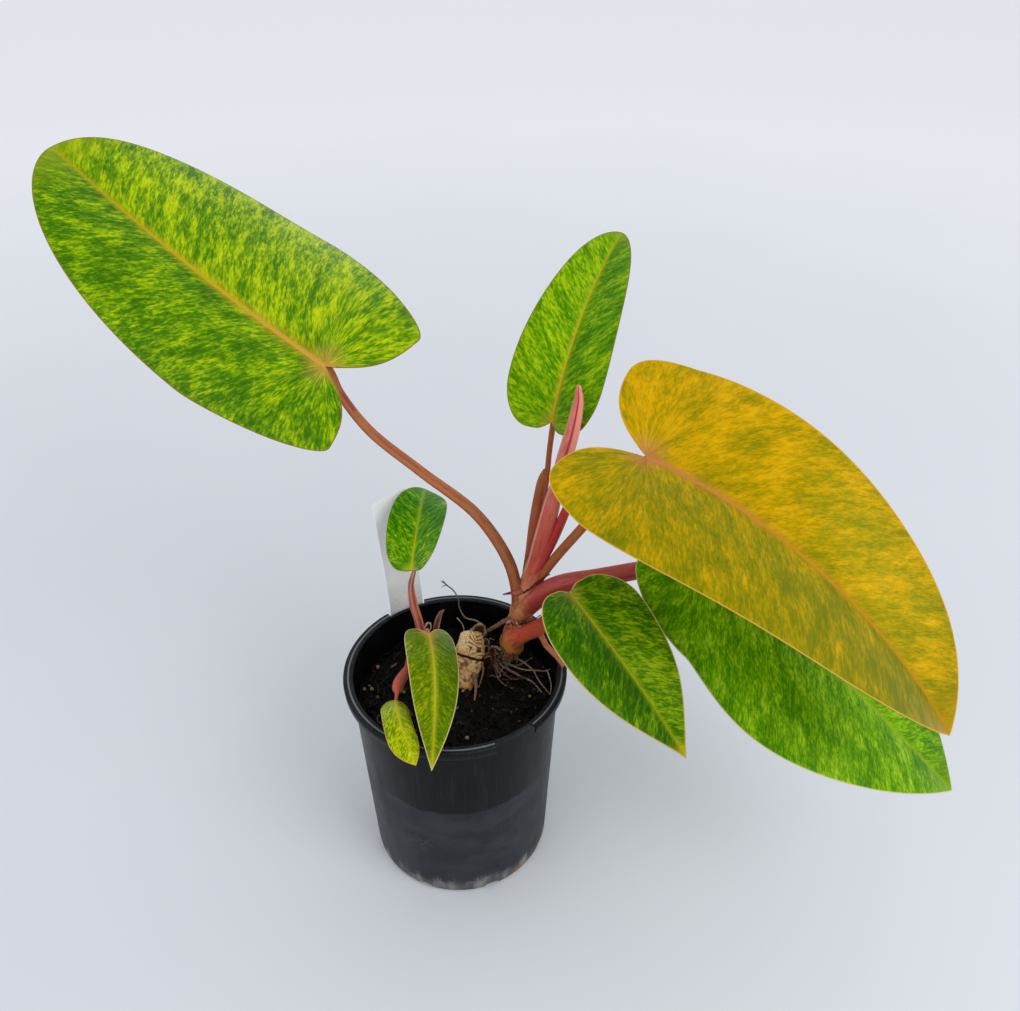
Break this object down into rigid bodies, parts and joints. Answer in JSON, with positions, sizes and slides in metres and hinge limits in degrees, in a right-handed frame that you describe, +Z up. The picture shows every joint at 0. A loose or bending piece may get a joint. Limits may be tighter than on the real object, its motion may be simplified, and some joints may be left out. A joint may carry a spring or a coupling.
{
  "type": "potted painted lady philodendron",
  "caption": "Potted painted lady philodendron: mottled heart-shaped leaves on red stalks from a corky stem, in a plain black nursery pot with a blank tag.",
  "frame": {"origin": "centre of the pot's underside, on the surface that it stands on", "axes": "+Z up, -Y towards the viewer of the picture, +X to the viewer's right"},
  "size_m": [0.7313, 0.3591, 0.6297],
  "materials": {
    "leaf_green": "satin leaf, mottled lime and dark green along its side veins",
    "leaf_golden": "satin leaf, gold mottled with olive, pink at the midrib",
    "leaf_lime": "satin leaf, olive and lime with an orange midrib",
    "stalk_brown": "smooth satin red-brown skin",
    "stalk_red": "smooth satin deep red skin",
    "new_growth": "smooth pink-red skin",
    "crown": "orange-brown skin with node rings",
    "old_stem": "dry corky tan bark",
    "dry_root": "dry brown, matt",
    "pot": "black, low gloss, dusty and scuffed",
    "tag": "plain white, bare",
    "soil": "damp dark potting mix"
  },
  "bodies": {
    "root": {"blade_upper_left": "leaf_green", "blade_upper_middle": "leaf_green", "blade_small_upright": "leaf_green", "blade_golden": "leaf_golden", "blade_low_green": "leaf_green", "blade_front": "leaf_green", "blade_smallest": "leaf_lime", "blade_drooping": "leaf_lime", "old_stem": "old_stem", "crown_stem": "crown", "stalk_front": "stalk_brown", "stalk_low_green": "stalk_red", "stalk_upper_left": "stalk_brown", "stalk_upper_middle": "stalk_brown", "stalk_golden": "stalk_brown", "stalk_small_upright": "new_growth", "stalk_drooping": "stalk_brown", "stalk_smallest": "new_growth", "new_leaf_sheath": "new_growth", "new_leaf_roll": "new_growth", "red_bract": "stalk_red", "leaf_scar_spike": "new_growth", "offshoot_stem": "crown", "dried_sheath": "dry_root", "roots": "dry_root", "aerial_root": "stalk_brown", "dry_thread": "dry_root", "pot": "pot", "plant_tag": "tag", "soil": "soil"}
  },
  "joints": []
}
